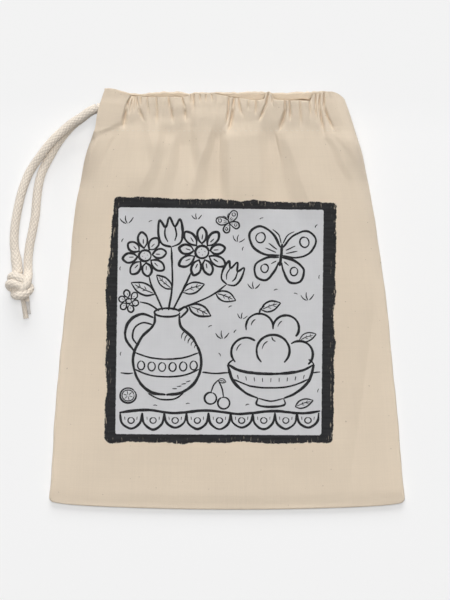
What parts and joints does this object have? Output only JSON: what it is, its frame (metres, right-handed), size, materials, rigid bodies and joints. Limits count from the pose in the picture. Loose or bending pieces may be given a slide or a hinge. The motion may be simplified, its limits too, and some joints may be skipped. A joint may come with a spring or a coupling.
{
  "type": "drawstring gift bag",
  "caption": "Small flat cotton bag with a printed front, a gathered casing round its mouth and a braided drawcord that leaves on one side and ends in a knot.",
  "frame": {"origin": "on the surface that the bag lies on, under the middle of its outline without the free cord", "axes": "+Y towards the mouth, +X to the bag's right as seen from the front, +Z out of the front face"},
  "size_m": [0.2798, 0.296, 0.0212],
  "materials": {
    "cotton_cloth": "plain weave, unbleached",
    "seam_cloth": "plain weave, turned-in edge",
    "sewing_thread": "spun cotton thread",
    "grey_ink": "thin matt ink on cloth",
    "black_ink": "thin matt ink on cloth, brushed edges",
    "braided_cotton": "soft round braid",
    "cord_tip": "smooth, slightly see-through"
  },
  "bodies": {
    "bag": {"front_panel": "cotton_cloth", "back_panel": "cotton_cloth", "left_side_seam": "seam_cloth", "right_side_seam": "seam_cloth", "bottom_seam": "seam_cloth", "left_seam_thread": "sewing_thread", "right_seam_thread": "sewing_thread", "bottom_seam_thread": "sewing_thread", "front_casing": "cotton_cloth", "back_casing": "cotton_cloth", "front_hem_stitches": "sewing_thread", "back_hem_stitches": "sewing_thread", "print_ground": "grey_ink", "print_border": "black_ink"},
    "drawcord": {"drawcord_in_casing": "braided_cotton", "right_casing_end": "cotton_cloth"},
    "mouth_left": {"front_left_casing_end": "cotton_cloth", "back_left_casing_end": "cotton_cloth"},
    "free_cord": {"front_strand": "braided_cotton", "back_strand": "braided_cotton", "knot": "braided_cotton", "left_tail": "braided_cotton", "right_tail": "braided_cotton", "right_tail_tip": "cord_tip"}
  },
  "joints": [
    {"name": "cinch", "type": "slide", "parent": "bag", "child": "drawcord", "axis": [-1, 0, 0], "range_m": [0, 0.055], "deforming": ["front_casing", "back_casing", "front_hem_stitches", "back_hem_stitches"]},
    {"name": "cinch_left", "type": "slide", "parent": "bag", "child": "mouth_left", "axis": [1, 0, 0], "range_m": [0, 0.055]},
    {"name": "cord_swing", "type": "hinge", "parent": "drawcord", "child": "free_cord", "pos_m": [-0.09313, 0.136, 0.0103], "axis": [0, 0, 1], "range_deg": [-70, 6]}
  ],
  "couplings": [
    {"joint": "cinch_left", "follows": "cinch", "ratio": 1}
  ]
}
